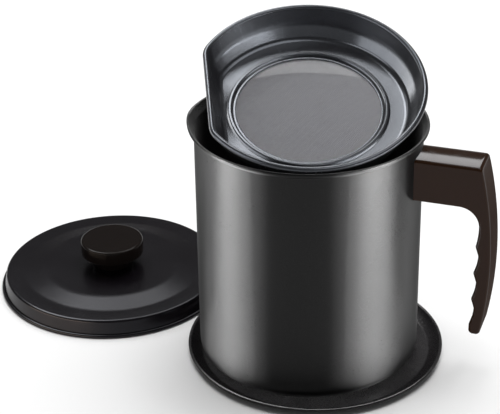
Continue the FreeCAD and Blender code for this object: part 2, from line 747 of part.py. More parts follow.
def make_strainer_mesh():
    mesh = make_disc("StrainerMesh", well_radius + " - slip_gap", on_axis, "mesh_thickness")
    place_in_mouth(mesh, ledge_top)
    return mesh


def make_mesh_retainer():
    ring = make_disc("MeshRetainer", well_radius + " - slip_gap",
                     well_radius + " - mesh_ledge", "retainer_thickness")
    place_in_mouth(ring, ledge_top + " + mesh_thickness")
    return ring


# ---------------------------------------------------------------- build, check and write
makers = [
    ("coaster_tray", make_coaster_tray),
    ("pot_shell", make_pot_shell),
    ("handle_bracket", make_handle_bracket),
    ("handle_grip", make_handle_grip),
    ("handle_screw", make_handle_screw),
    ("strainer_pan", make_strainer_pan),
    ("strainer_mesh", make_strainer_mesh),
    ("mesh_retainer", make_mesh_retainer),
    ("lid_shell", make_lid_shell),
    ("lid_knob", make_lid_knob),
    ("knob_insert", make_knob_insert),
    ("knob_washer", make_knob_washer),
    ("knob_screw", make_knob_screw),
]
pieces = []
for label, maker in makers:
    piece = maker()
    piece.Label = label
    pieces.append(piece)
doc.recompute()

broken = [item.Name for item in doc.Objects if "Invalid" in item.State or "Error" in item.State]
if broken:
    raise RuntimeError("failed: " + ", ".join(broken))
for piece in pieces:
    shape = piece.Shape
    if shape.isNull() or not shape.isValid() or len(shape.Solids) != 1:
        raise RuntimeError("%s is not one good solid" % piece.Label)

os.makedirs("parts", exist_ok=True)
for piece in pieces:
    piece.Shape.exportStep(os.path.join("parts", piece.Label + ".step"))
    box = piece.Shape.BoundBox
    print("%-16s volume %9.1f  x %7.2f..%7.2f  y %7.2f..%7.2f  z %7.2f..%7.2f" % (
        piece.Label, piece.Shape.Volume, box.XMin, box.XMax, box.YMin, box.YMax, box.ZMin, box.ZMax))
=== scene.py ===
import math

import bmesh
import bpy
from mathutils import Matrix, Vector


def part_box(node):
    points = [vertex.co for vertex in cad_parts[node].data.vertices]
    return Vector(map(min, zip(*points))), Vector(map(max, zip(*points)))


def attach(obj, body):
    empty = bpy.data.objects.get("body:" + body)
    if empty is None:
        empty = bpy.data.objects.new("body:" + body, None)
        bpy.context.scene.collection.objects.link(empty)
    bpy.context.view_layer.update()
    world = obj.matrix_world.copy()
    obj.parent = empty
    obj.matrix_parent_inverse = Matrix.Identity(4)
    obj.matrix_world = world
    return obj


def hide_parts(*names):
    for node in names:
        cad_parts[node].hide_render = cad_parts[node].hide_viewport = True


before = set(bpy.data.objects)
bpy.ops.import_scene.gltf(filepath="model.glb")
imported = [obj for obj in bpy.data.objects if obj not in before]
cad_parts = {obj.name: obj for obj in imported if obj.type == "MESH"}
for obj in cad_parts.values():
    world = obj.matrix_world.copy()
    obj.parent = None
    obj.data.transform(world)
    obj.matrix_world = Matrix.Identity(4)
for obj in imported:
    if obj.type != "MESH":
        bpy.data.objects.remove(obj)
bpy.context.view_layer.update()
scene = bpy.context.scene
mm = 0.001  # sizes below are in millimetres and angles in degrees, unless a note says otherwise


def middleOf(node):
    low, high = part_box(node)
    return (low + high) / 2


# where the loose pieces stand, from the frame, in millimetres
potPlace = Vector((0, 0))
trayPlace = middleOf("coaster_tray").xy / mm
lidPlace = middleOf("lid_shell").xy / mm
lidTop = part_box("lid_shell")[1].z / mm
print("frame loaded, lid at", [round(v, 1) for v in lidPlace], "tray at", [round(v, 1) for v in trayPlace])


# lines and meshes
def softLine(corners, steps=6):  # corners are (across, up) or (across, up, rounding)
    points = []
    for k, corner in enumerate(corners):
        here = Vector(corner[:2])
        if len(corner) == 2:
            points.append(here)
            continue
        back = (Vector(corners[k - 1][:2]) - here).normalized()
        ahead = (Vector(corners[k + 1][:2]) - here).normalized()
        bend = math.pi - back.angle(ahead)
        centre = here + (back + ahead).normalized() * (corner[2] / math.cos(bend / 2))
        reach = corner[2] * math.tan(bend / 2)
        first = here + back * reach - centre
        turn = first.angle_signed(here + ahead * reach - centre)
        for step in range(steps + 1):
            points.append(centre + Matrix.Rotation(-turn * step / steps, 2) @ first)
    return points


def beadArc(centre, radius, fromAngle, toAngle, steps=22):
    points = []
    for step in range(steps + 1):
        angle = math.radians(fromAngle + (toAngle - fromAngle) * step / steps)
        points.append(Vector((centre[0] + radius * math.cos(angle), centre[1] + radius * math.sin(angle))))
    return points


def skinRings(name, rings, closed, along):
    # rings of points in metres, each a full ring or a single pole; along is the way run, for the UV map
    bm = bmesh.new()
    surface = bm.loops.layers.uv.new("surface")
    made = [[bm.verts.new(point) for point in ring] for ring in rings]
    count = max(len(ring) for ring in rings)
    last = len(made) if closed else len(made) - 1
    for k in range(last):
        here, there = made[k], made[(k + 1) % len(made)]
        for i in range(count):
            j = (i + 1) % count
            corners = [(here, i, along[k]), (here, j, along[k]),
                       (there, j, along[k + 1]), (there, i, along[k + 1])]
            if len(here) == 1:
                corners = [corners[0], corners[2], corners[3]]
            elif len(there) == 1:
                corners = corners[:3]
            face = bm.faces.new([ring[n if len(ring) > 1 else 0] for ring, n, way in corners])
            for loop, (ring, n, way) in zip(face.loops, corners):
                around = i + 1 if n == j else i
                loop[surface].uv = (around / count, way)
    bmesh.ops.recalc_face_normals(bm, faces=bm.faces)
    return finishMesh(name, bm)


def finishMesh(name, bm, sharpAngle=40):
    mesh = bpy.data.meshes.new(name)
    bm.to_mesh(mesh)
    bm.free()
    mesh.shade_smooth()
    mesh.set_sharp_from_angle(angle=math.radians(sharpAngle))
    piece = bpy.data.objects.new(name, mesh)
    scene.collection.objects.link(piece)
    return piece


def wayAlong(outline):
    along = [0.0]
    for k in range(len(outline)):
        step = outline[(k + 1) % len(outline)] - outline[k]
        along.append(along[-1] + step.length * mm)
    return along


def lathe(name, outline, centre, steps=180):
    # outline in millimetres: closed, or with both ends on the axis
    rings = []
    for point in outline:
        if point.x < 1e-6:
            rings.append([Vector((centre.x, centre.y, point.y)) * mm])
            continue
        ring = []
        for i in range(steps):
            angle = 2 * math.pi * i / steps
            ring.append(Vector((centre.x + point.x * math.cos(angle),
                                centre.y + point.x * math.sin(angle), point.y)) * mm)
        rings.append(ring)
    onAxis = outline[0].x < 1e-6
    return skinRings(name, rings, not onAxis, wayAlong(outline))


# shared shader groups
def newGroup(name, inputs, outputs):  # an input without a value is a vector, all the rest are numbers
    tree = bpy.data.node_groups.new(name, "ShaderNodeTree")
    for label, value in inputs:
        kind = "NodeSocketVector" if value is None else "NodeSocketFloat"
        socket = tree.interface.new_socket(label, in_out="INPUT", socket_type=kind)
        if value is not None:
            socket.default_value = value
    for label in outputs:
        tree.interface.new_socket(label, in_out="OUTPUT", socket_type="NodeSocketFloat")
    return tree, tree.nodes.new("NodeGroupInput"), tree.nodes.new("NodeGroupOutput")


def addNode(tree, kind, **settings):
    node = tree.nodes.new(kind)
    for key, value in settings.items():
        setattr(node, key, value)
    return node


def noiseNode(tree, vector, scale, detail=2.0):
    node = addNode(tree, "ShaderNodeTexNoise")
    tree.links.new(vector, node.inputs["Vector"])
    if isinstance(scale, bpy.types.NodeSocket):
        tree.links.new(scale, node.inputs["Scale"])
    else:
        node.inputs["Scale"].default_value = scale
    node.inputs["Detail"].default_value = detail
    return node.outputs["Fac"]


def rangeNode(tree, value, fromMin, fromMax, toMin=0.0, toMax=1.0):
    node = addNode(tree, "ShaderNodeMapRange")
    for label, amount in (("Value", value), ("From Min", fromMin), ("From Max", fromMax),
                          ("To Min", toMin), ("To Max", toMax)):
        if isinstance(amount, bpy.types.NodeSocket):
            tree.links.new(amount, node.inputs[label])
        else:
            node.inputs[label].default_value = amount
    return node.outputs["Result"]


def mathNode(tree, operation, first, second=None):
    node = addNode(tree, "ShaderNodeMath", operation=operation)
    for k, amount in enumerate((first, second)):
        if isinstance(amount, bpy.types.NodeSocket):
            tree.links.new(amount, node.inputs[k])
        elif amount is not None:
            node.inputs[k].default_value = amount
    return node.outputs[0]


def mixColours(tree, factor, first, second):
    node = addNode(tree, "ShaderNodeMix", data_type="RGBA")
    tree.links.new(factor, node.inputs[0])
    for socket, colour in ((node.inputs[6], first), (node.inputs[7], second)):
        if isinstance(colour, bpy.types.NodeSocket):
            tree.links.new(colour, socket)
        else:
            socket.default_value = (*colour, 1)
    return node.outputs[2]


grainShape = dict(speckFrom=0.56, speckTo=0.72, grainShare=0.7, cloudShare=0.3, spreadFrom=0.35, spreadTo=0.65)


def makeGrainGroup(s):  # the sprayed coat's fine grain: a height, a speck mask and an uneven gloss
    tree, given, result = newGroup(
        "sprayedGrain",
        [("Vector", None), ("Grain Scale", 1400.0), ("Cloud Scale", 45.0), ("Gloss Low", 0.35),
         ("Gloss High", 0.5)],
        ["Height", "Specks", "Roughness"])
    grain = noiseNode(tree, given.outputs["Vector"], given.outputs["Grain Scale"], 3.0)
    cloud = noiseNode(tree, given.outputs["Vector"], given.outputs["Cloud Scale"], 2.0)
    specks = rangeNode(tree, grain, s["speckFrom"], s["speckTo"])
    blend = mathNode(tree, "ADD", mathNode(tree, "MULTIPLY", grain, s["grainShare"]),
                     mathNode(tree, "MULTIPLY", cloud, s["cloudShare"]))
    gloss = rangeNode(tree, blend, s["spreadFrom"], s["spreadTo"],
                      given.outputs["Gloss Low"], given.outputs["Gloss High"])
    tree.links.new(grain, result.inputs["Height"])
    tree.links.new(specks, result.inputs["Specks"])
    tree.links.new(gloss, result.inputs["Roughness"])
    return tree


smudgeShape = dict(wideFrom=0.5, wideTo=0.75, fineScale=900.0, fineFrom=0.3, fineTo=0.7)


def makeSmudgeGroup(s):  # faint handling marks: a mask
    tree, given, result = newGroup(
        "handlingMarks",
        [("Vector", None), ("Mark Scale", 60.0)],
        ["Marks"])
    wide = noiseNode(tree, given.outputs["Vector"], given.outputs["Mark Scale"], 4.0)
    fine = noiseNode(tree, given.outputs["Vector"], s["fineScale"], 1.0)
    marks = mathNode(tree, "MULTIPLY", rangeNode(tree, wide, s["wideFrom"], s["wideTo"]),
                     rangeNode(tree, fine, s["fineFrom"], s["fineTo"]))
    tree.links.new(marks, result.inputs["Marks"])
    return tree


def makeStreakGroup():  # fine lines left by drawing or turning, on the piece's own UV map
    tree, given, result = newGroup(
        "drawnStreaks",
        [("Around Scale", 160.0), ("Along Scale", 8.0)],
        ["Streaks"])
    surface = addNode(tree, "ShaderNodeUVMap", uv_map="surface")
    parts = addNode(tree, "ShaderNodeSeparateXYZ")
    tree.links.new(surface.outputs["UV"], parts.inputs["Vector"])
    turn = mathNode(tree, "MULTIPLY", parts.outputs["X"], 2 * math.pi)
    vector = addNode(tree, "ShaderNodeCombineXYZ")
    across = mathNode(tree, "MULTIPLY", mathNode(tree, "COSINE", turn), given.outputs["Around Scale"])
    around = mathNode(tree, "MULTIPLY", mathNode(tree, "SINE", turn), given.outputs["Around Scale"])
    along = mathNode(tree, "MULTIPLY", parts.outputs["Y"], given.outputs["Along Scale"])
    for socket, value in zip(vector.inputs, (across, around, along)):
        tree.links.new(value, socket)
    tree.links.new(noiseNode(tree, vector.outputs["Vector"], 1.0, 3.0), result.inputs["Streaks"])
    return tree


grainGroup = makeGrainGroup(grainShape)
smudgeGroup = makeSmudgeGroup(smudgeShape)
streakGroup = makeStreakGroup()


# materials
def newMaterial(name, look):
    material = bpy.data.materials.new(name)
    material.use_nodes = True
    shader = material.node_tree.nodes["Principled BSDF"]
    shader.inputs["Base Color"].default_value = (*look["colour"], 1)
    for label, key in (("Metallic", "metal"), ("Specular IOR Level", "shine"), ("Anisotropic", "stretch"),
                       ("Anisotropic Rotation", "stretchTurn")):
        if key in look:
            shader.inputs[label].default_value = look[key]
    if "tint" in look:
        shader.inputs["Specular Tint"].default_value = (*look["tint"], 1)
    where = addNode(material.node_tree, "ShaderNodeTexCoord").outputs["Object"]
    return material, material.node_tree, shader, where


def placeGroup(tree, group, **values):
    node = addNode(tree, "ShaderNodeGroup", node_tree=group)
    for label, value in values.items():
        socket = node.inputs[label.replace("_", " ")]
        if isinstance(value, bpy.types.NodeSocket):
            tree.links.new(value, socket)
        else:
            socket.default_value = value
    return node


def addBump(tree, shader, height, distance):
    bump = addNode(tree, "ShaderNodeBump")
    bump.inputs["Distance"].default_value = distance
    tree.links.new(height, bump.inputs["Height"])
    tree.links.new(bump.outputs["Normal"], shader.inputs["Normal"])


def addEdgeGloss(tree, gloss, look):  # rougher where it is seen edge on, where fine grain hides the mirror
    facing = addNode(tree, "ShaderNodeLayerWeight").outputs["Facing"]
    added = rangeNode(tree, facing, look["edgeStart"], look["edgeEnd"], 0.0, look["edgeGloss"])
    return mathNode(tree, "ADD", gloss, added)


def makeCoat(name, look):  # sprayed non-stick coat on steel
    material, tree, shader, where = newMaterial(name, look)
    grain = placeGroup(tree, grainGroup, Vector=where, Grain_Scale=look["grainScale"],
                       Gloss_Low=look["glossLow"], Gloss_High=look["glossHigh"])
    marks = placeGroup(tree, smudgeGroup, Vector=where)
    colour = mixColours(tree, grain.outputs["Specks"], look["colour"], look["speckColour"])
    lifted = mathNode(tree, "ADD", grain.outputs["Roughness"],
                      mathNode(tree, "MULTIPLY", marks.outputs["Marks"], look["markGloss"]))
    if "edgeGloss" in look:
        lifted = addEdgeGloss(tree, lifted, look)
    tree.links.new(colour, shader.inputs["Base Color"])
    tree.links.new(lifted, shader.inputs["Roughness"])
    addBump(tree, shader, grain.outputs["Height"], look["grainDepth"] * mm)
    if "stretch" in look:
        tangent = addNode(tree, "ShaderNodeTangent", direction_type="UV_MAP", uv_map="surface")
        tree.links.new(tangent.outputs["Tangent"], shader.inputs["Tangent"])
    return material, tree, shader, lifted


potLook = dict(colour=(0.0035, 0.0035, 0.0036), speckColour=(0.010, 0.010, 0.0104), grainScale=1500.0,
               glossLow=0.27, glossHigh=0.30, markGloss=0.01, grainDepth=0.006, shine=0.22,
               stretch=0.97, stretchTurn=0.25, edgeGloss=0.4, edgeStart=0.6, edgeEnd=0.9)
lidLook = dict(colour=(0.0056, 0.0043, 0.0058), speckColour=(0.0086, 0.0068, 0.0090), grainScale=2200.0,
               glossLow=0.20, glossHigh=0.26, markGloss=0.04, grainDepth=0.003, shine=0.25,
               tint=(0.90, 0.92, 1.0))
trayLook = dict(colour=(0.0110, 0.0095, 0.0108), speckColour=(0.0155, 0.0135, 0.0152), grainScale=2200.0,
                glossLow=0.24, glossHigh=0.30, markGloss=0.04, grainDepth=0.004, shine=0.22)
panLook = dict(colour=(0.014, 0.014, 0.016), speckColour=(0.020, 0.020, 0.023), grainScale=2000.0,
               glossLow=0.20, glossHigh=0.26, markGloss=0.05, grainDepth=0.003, shine=0.6,
               tint=(0.84, 0.90, 1.0), streakGloss=0.03, streakAround=22.0, streakAlong=9.0,
               streakFrom=0.35, streakTo=0.65)

potCoat = makeCoat("potCoat", potLook)[0]
lidCoat = makeCoat("lidCoat", lidLook)[0]
trayCoat = makeCoat("trayCoat", trayLook)[0]


def makePanCoat(look):  # the same coat over drawn steel, with faint streaks down the walls
    material, tree, shader, gloss = makeCoat("panCoat", look)
    half = look["streakGloss"] / 2
    streaks = placeGroup(tree, streakGroup, Around_Scale=look["streakAround"], Along_Scale=look["streakAlong"])
    shift = rangeNode(tree, streaks.outputs["Streaks"], look["streakFrom"], look["streakTo"], -half, half)
    tree.links.new(mathNode(tree, "ADD", gloss, shift), shader.inputs["Roughness"])
    return material


panCoat = makePanCoat(panLook)


def makePhenolic(name, look):  # polished thermoset moulding
    material, tree, shader, where = newMaterial(name, look)
    marks = placeGroup(tree, smudgeGroup, Vector=where, Mark_Scale=look["markScale"])
    cloud = noiseNode(tree, where, look["cloudScale"], 3.0)
    tree.links.new(mixColours(tree, cloud, look["colour"], look["cloudColour"]), shader.inputs["Base Color"])
    gloss = mathNode(tree, "ADD", mathNode(tree, "MULTIPLY", marks.outputs["Marks"], look["markGloss"]),
                     look["gloss"])
    if "edgeGloss" in look:
        gloss = addEdgeGloss(tree, gloss, look)
    tree.links.new(gloss, shader.inputs["Roughness"])
    addBump(tree, shader, noiseNode(tree, where, look["waveScale"], 1.0), look["waveDepth"] * mm)
    return material


handleLook = dict(colour=(0.0250, 0.0105, 0.0040), cloudColour=(0.0330, 0.0130, 0.0046), cloudScale=30.0,
                  markScale=70.0, markGloss=0.10, gloss=0.08, waveScale=120.0, waveDepth=0.01, shine=0.16,
                  tint=(0.90, 0.93, 1.0), edgeGloss=0.9, edgeStart=0.6, edgeEnd=0.80)
knobLook = dict(colour=(0.0110, 0.0084, 0.0074), cloudColour=(0.0135, 0.0100, 0.0088), cloudScale=30.0,
                markScale=70.0, markGloss=0.10, gloss=0.12, waveScale=140.0, waveDepth=0.01, shine=0.08)
handlePhenolic = makePhenolic("handlePhenolic", handleLook)
knobPhenolic = makePhenolic("knobPhenolic", knobLook)


metalTone = dict(lineShare=0.6, markShare=0.4, low=0.2, high=0.7)


def makeMetal(name, look):  # plated, turned or drawn metal, with fine lines along one axis
    material, tree, shader, where = newMaterial(name, look)
    squeeze = addNode(tree, "ShaderNodeMapping")
    squeeze.inputs["Scale"].default_value = look["lineScale"]
    tree.links.new(where, squeeze.inputs["Vector"])
    lines = noiseNode(tree, squeeze.outputs["Vector"], 1.0, 3.0)
    marks = placeGroup(tree, smudgeGroup, Vector=where)
    tone = mathNode(tree, "ADD", mathNode(tree, "MULTIPLY", lines, metalTone["lineShare"]),
                    mathNode(tree, "MULTIPLY", marks.outputs["Marks"], metalTone["markShare"]))
    gloss = rangeNode(tree, tone, metalTone["low"], metalTone["high"], look["glossLow"], look["glossHigh"])
    tree.links.new(mixColours(tree, tone, look["colour"], look["dullColour"]), shader.inputs["Base Color"])
    tree.links.new(gloss, shader.inputs["Roughness"])
    addBump(tree, shader, lines, look["lineDepth"] * mm)
    return material


platedLook = dict(colour=(0.60, 0.60, 0.59), dullColour=(0.42, 0.42, 0.41), metal=1.0,
                  glossLow=0.25, glossHigh=0.42, lineScale=(300, 300, 2500), lineDepth=0.008)
screwLook = dict(colour=(0.66, 0.65, 0.63), dullColour=(0.46, 0.45, 0.43), metal=1.0,
                 glossLow=0.18, glossHigh=0.34, lineScale=(400, 400, 3000), lineDepth=0.006)
brassLook = dict(colour=(0.78, 0.60, 0.28), dullColour=(0.52, 0.38, 0.17), metal=1.0,
                 glossLow=0.20, glossHigh=0.36, lineScale=(300, 300, 3500), lineDepth=0.006)
wireLook = dict(colour=(0.47, 0.47, 0.49), dullColour=(0.33, 0.33, 0.35), metal=1.0,
                glossLow=0.30, glossHigh=0.45, lineScale=(700, 700, 700), lineDepth=0.004)
platedSteel = makeMetal("platedSteel", platedLook)
screwSteel = makeMetal("screwSteel", screwLook)
brass = makeMetal("brass", brassLook)
meshWire = makeMetal("meshWire", wireLook)
print("materials made")


def place(piece, material, body, slot, *nodes):
    piece.data.materials.clear()
    piece.data.materials.append(material)
    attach(piece, body)
    if nodes:
        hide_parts(*nodes)


# coaster tray
traySizes = dict(thickness=0.8, lipRadius=77.0, lipHeight=4.6, lipBead=1.1, slope=33.0, bend=2.5,
                 joinEase=4.0, around=192)  # joinEase: how far the bead's arc stops short of the sheet


def makeTray(s):
    slope = math.radians(s["slope"])
    floorEdge = s["lipRadius"] - s["lipHeight"] / math.tan(slope)
    skin = s["thickness"]
    lip = Vector((s["lipRadius"], s["lipHeight"]))
    floorTop = floorEdge - skin * math.tan(slope / 2)
    back = math.degrees(math.acos(skin / s["lipBead"]))
    under = beadArc(lip, s["lipBead"], 180 + s["slope"] + s["joinEase"],
                    450 + s["slope"] + back - s["joinEase"])
    outline = softLine([
        (0, 0),
        (floorEdge, 0, s["bend"] + skin),
        (under[0].x, under[0].y),
    ]) + under[1:-1] + softLine([
        (under[-1].x, under[-1].y),
        (floorTop, skin, s["bend"]),
        (0, skin),
    ])
    print("tray floor edge", round(floorEdge, 2))
    return lathe("coasterTray", outline, trayPlace, s["around"])


place(makeTray(traySizes), trayCoat, "tray", "tray_coat", "coaster_tray")

# pot
potSizes = dict(radius=66.7, top=151.3, wall=0.6, stand=0.8, corner=7.0, foot=54.0, recess=1.0, footRound=0.8,
                bead=0.95, flare=2.35, flareHeight=3.2, flareBend=2.5, creaseRound=1.2, creaseTurn=16.0,
                lipOut=2.0, lipBearing=186.0, lipSpread=15.0, lipDrop=7.0, around=240)


def makePot(s):
    wall, stand = s["wall"], s["stand"]
    rim = Vector((s["radius"] + s["flare"], s["top"] - s["bead"]))
    bottomOut, bottomIn = stand + s["recess"], stand + s["recess"] + wall
    entry = 180 + math.degrees(math.atan2(s["flareHeight"], s["flare"]))
    curl = beadArc(rim, s["bead"], entry - 360 + s["creaseTurn"], 180, steps=30)
    outline = softLine([
        (0, bottomOut),
        (s["foot"] - s["recess"], bottomOut, s["footRound"]),
        (s["foot"], stand, s["footRound"]),
        (s["radius"], stand, s["corner"]),
        (s["radius"], rim.y - s["flareHeight"], s["creaseRound"]),
        (curl[0].x, curl[0].y),
    ], steps=8) + curl[1:-1] + softLine([
        (curl[-1].x, curl[-1].y),
        (s["radius"] - wall, rim.y - s["flareHeight"], s["flareBend"]),
        (s["radius"] - wall, stand + wall, s["corner"] - wall),
        (s["foot"], stand + wall, s["footRound"]),
        (s["foot"] - s["recess"], bottomIn, s["footRound"]),
        (0, bottomIn),
    ], steps=8)
    return lathe("potShell", outline, potPlace, s["around"])


def pressLip(piece, s):  # presses a shallow pouring lip into the rim, opposite the handle
    for vertex in piece.data.vertices:
        rise = (vertex.co.z / mm - s["top"] + s["lipDrop"]) / s["lipDrop"]
        bearing = math.degrees(math.atan2(vertex.co.y, vertex.co.x)) % 360
        if rise > 0:
            share = rise ** 2 * math.exp(-((bearing - s["lipBearing"]) / s["lipSpread"]) ** 2)
            reach = math.hypot(vertex.co.x, vertex.co.y)
            vertex.co.xy *= 1 + s["lipOut"] * mm * share / reach


potShell = makePot(potSizes)
pressLip(potShell, potSizes)
place(potShell, potCoat, "pot", "pot_coat", "pot_shell")

# lid
lidSizes = dict(wall=0.6, bead=1.25, beadRadius=72.4, skirtTop=70.0, corner=1.8,
                band=11.2, middle=13.6, riseFoot=58.0, riseTop=44.0, hole=2.8, footBend=16.0, topBend=26.0,
                around=240)


def makeLid(s):
    wall = s["wall"]
    edge = Vector((s["beadRadius"], s["bead"]))
    join = math.degrees(math.atan2(math.sqrt(s["bead"] ** 2 - (s["bead"] - wall) ** 2), wall - s["bead"]))
    curl = beadArc(edge, s["bead"], 180, 360 + join)
    outline = softLine([
        (curl[-1].x, curl[-1].y),
        (s["skirtTop"], s["band"], s["corner"]),
        (s["riseFoot"], s["band"], s["footBend"]),
        (s["riseTop"], s["middle"], s["topBend"]),
        (s["hole"], s["middle"]),
    ], steps=10) + softLine([
        (s["hole"], s["middle"] - wall),
        (s["riseTop"], s["middle"] - wall, s["topBend"]),
        (s["riseFoot"], s["band"] - wall, s["footBend"]),
        (s["skirtTop"] - wall, s["band"] - wall, s["corner"] - wall),
        (curl[0].x, curl[0].y),
    ], steps=10) + curl[1:-1]
    return lathe("lidShell", outline, lidPlace, s["around"])


place(makeLid(lidSizes), lidCoat, "lid", "lid_coat", "lid_shell")

# knob
knobSizes = dict(radius=20.3, neck=12.0, neckHeight=7.6, height=17.6, rounding=1.4, cove=3.0,
                 bore=4.25, boreDepth=9.15, dish=0.3, dishBend=30.0, around=128)


def makeKnob(s):
    low = lidTop
    outline = softLine([
        (0, low + s["boreDepth"]),
        (s["bore"], low + s["boreDepth"]),
        (s["bore"], low),
        (s["neck"], low),
        (s["neck"], low + s["neckHeight"], s["cove"]),
        (s["radius"], low + s["neckHeight"], s["rounding"]),
        (s["radius"], low + s["height"], s["rounding"]),
        (s["neck"], low + s["height"] - s["dish"] / 2, s["dishBend"]),
        (0, low + s["height"] - s["dish"]),
    ], steps=8)
    return lathe("lidKnob", outline, lidPlace, s["around"])


place(makeKnob(knobSizes), knobPhenolic, "lid", "knob_phenolic", "lid_knob")
print("tray, pot, lid and knob turned")

# handle
handleSizes = dict(top=140.7, underside=114.4, width=23.0, potRadius=66.85, topBump=103.0, crookOut=1.4,
                   crookRadius=12.0, bumpHeight=90.2, pitch=17.4, lean=0.5, hollowDepth=1.9, hollowDrop=6.0,
                   hollowRadius=34.0, backOut=1.3, backRadius=252.0, endDrop=6.3, endThickness=6.5,
                   bumpRound=2.7, endRound=2.6, sideRound=1.7, topCrown=0.4, crownDepth=8.0, bumps=4,
                   leastStep=0.05, sideSteps=8, rootSlack=0.01, sharpAngle=30, flatSide=0.9999)


def arcTo(start, stop, radius, side, steps=24):  # side 1 has the centre on the left of the way
    chord = stop - start
    rise = math.sqrt(radius ** 2 - chord.length_squared / 4)
    left = Vector((-chord.y, chord.x)).normalized()
    centre = (start + stop) / 2 + left * rise * side
    first, last = start - centre, stop - centre
    turn = -first.angle_signed(last)
    return [centre + Matrix.Rotation(turn * k / steps, 2) @ first for k in range(steps + 1)]


def cutBack(line, length):  # the line without its last stretch of that length
    left = length
    line = list(line)
    while left > 0 and len(line) > 1:
        step = (line[-1] - line[-2]).length
        if step > left:
            line[-1] = line[-1].lerp(line[-2], left / step)
            return line
        left -= step
        line.pop()
    return line


def roundedLoop(stretches, rounds, steps=8):
    # closed loop of stretches; rounds[k] is the rounding where stretch k starts
    bends = []
    for k, line in enumerate(stretches):
        before = stretches[k - 1]
        bends.append((line[1] - line[0]).angle(before[-1] - before[-2]))
    reach = [rounding * math.tan(bend / 2) for rounding, bend in zip(rounds, bends)]
    points = []
    for k, line in enumerate(stretches):
        following = (k + 1) % len(stretches)
        cut = cutBack(cutBack(line, reach[following])[::-1], reach[k])[::-1]
        if rounds[k]:
            start = cutBack(stretches[k - 1], reach[k])[-1]
            weight = math.cos(bends[k] / 2)
            for step in range(1, steps):
                t = step / steps
                shares = ((1 - t) ** 2, 2 * weight * t * (1 - t), t ** 2)
                points.append((start * shares[0] + line[0] * shares[1] + cut[0] * shares[2]) / sum(shares))
        points += cut if rounds[k] else cut[1:]
    return points


def handleOutline(s):
    def spot(x, z):
        return Vector((x, z))

    stretches, rounds = [], []

    def straight(start, stop, rounding, steps=1):
        stretches.append([start.lerp(stop, k / steps) for k in range(steps + 1)])
        rounds.append(rounding)

    def curved(start, stop, radius, side, rounding):
        stretches.append(arcTo(start, stop, radius, side))
        rounds.append(rounding)

    root = s["potRadius"]
    crook = s["topBump"] + s["crookOut"]
    crookLow = spot(crook, s["underside"] - s["crookRadius"])
    topBump = spot(s["topBump"], s["bumpHeight"])
    drop = crookLow.y - topBump.y
    straight(spot(root, s["underside"]), spot(crook - s["crookRadius"], s["underside"]), 0, 10)
    curved(spot(crook - s["crookRadius"], s["underside"]), crookLow, s["crookRadius"], -1, 0)
    curved(crookLow, topBump, (s["crookOut"] ** 2 + drop ** 2) / (2 * s["crookOut"]), -1, 0)
    bump = topBump
    for k in range(1, s["bumps"]):
        deep = bump + Vector((s["hollowDepth"], -s["hollowDrop"]))
        following = spot(s["topBump"] - k * s["lean"], s["bumpHeight"] - k * s["pitch"])
        straight(bump, deep, s["bumpRound"], 6)
        curved(deep, following, s["hollowRadius"], -1, s["bumpRound"])
        bump = following
    low = bump.y - s["endDrop"]
    back = bump.x + s["endThickness"]
    straight(bump, spot(bump.x, low), s["bumpRound"], 6)
    straight(spot(bump.x, low), spot(back, low), s["endRound"], 4)
    curved(spot(back, low), spot(s["topBump"] + s["backOut"], s["top"]), s["backRadius"], 1, s["endRound"])
    straight(spot(s["topBump"] + s["backOut"], s["top"]), spot(root, s["top"]), s["endRound"], 14)
    straight(spot(root, s["top"]), spot(root, s["underside"]), 0, 6)
    return roundedLoop(stretches, rounds)


def makeHandle(s):
    line = handleOutline(s)
    kept = [line[0]]  # points that all but coincide are left out
    for point in line[1:]:
        if (point - kept[-1]).length > s["leastStep"]:
            kept.append(point)
    if (kept[-1] - kept[0]).length < s["leastStep"]:
        kept.pop()
    line = kept
    count = len(line)
    inward = []
    for k in range(count):
        along = (line[(k + 1) % count] - line[k - 1]).normalized()
        inward.append(Vector((-along.y, along.x)))
    half, steps = s["width"] / 2, s["sideSteps"]
    levels = []  # slices from side to side: how far across, and how far in from the outline
    for k in range(steps + 1):
        turn = math.radians(90 * k / steps)
        levels.append((-half + s["sideRound"] * (1 - math.cos(turn)), s["sideRound"] * (1 - math.sin(turn))))
    flat = half - s["sideRound"]
    levels += [(-flat + 2 * flat * k / steps, 0.0) for k in range(1, steps)]
    levels += [(-across, inset) for across, inset in reversed(levels[:steps + 1])]
    rings = []
    for across, inset in levels:
        ring = []
        for point, into in zip(line, inward):
            atRoot = point.x < s["potRadius"] + s["rootSlack"]
            moved = point + into * inset
            if atRoot:
                ends = 1 if point.y < (s["top"] + s["underside"]) / 2 else -1
                edge = min(point.y - s["underside"], s["top"] - point.y)
                lift = inset * max(0.0, 1 - edge / s["sideRound"])
                moved = Vector((math.sqrt(s["potRadius"] ** 2 - across ** 2), point.y + ends * lift))
            crowned = max(0.0, 1 - (s["top"] - moved.y) / s["crownDepth"])
            moved.y -= s["topCrown"] * crowned * (across / half) ** 2
            ring.append(Vector((moved.x, across, moved.y)) * mm)
        rings.append(ring)
    bm = bmesh.new()
    made = [[bm.verts.new(point) for point in ring] for ring in rings]
    for k in range(len(made) - 1):
        for i in range(count):
            j = (i + 1) % count
            bm.faces.new([made[k][i], made[k][j], made[k + 1][j], made[k + 1][i]])
    for ring in (made[0], made[-1]):
        side = bm.faces.new(ring)
        side.normal_update()
        bmesh.ops.triangulate(bm, faces=[side])
    bmesh.ops.recalc_face_normals(bm, faces=bm.faces)
    grip = finishMesh("handleGrip", bm, s["sharpAngle"])
    for polygon in grip.data.polygons:
        polygon.use_smooth = abs(polygon.normal.y) < s["flatSide"]
    return grip


place(makeHandle(handleSizes), handlePhenolic, "pot", "handle_phenolic", "handle_grip")
print("handle made")

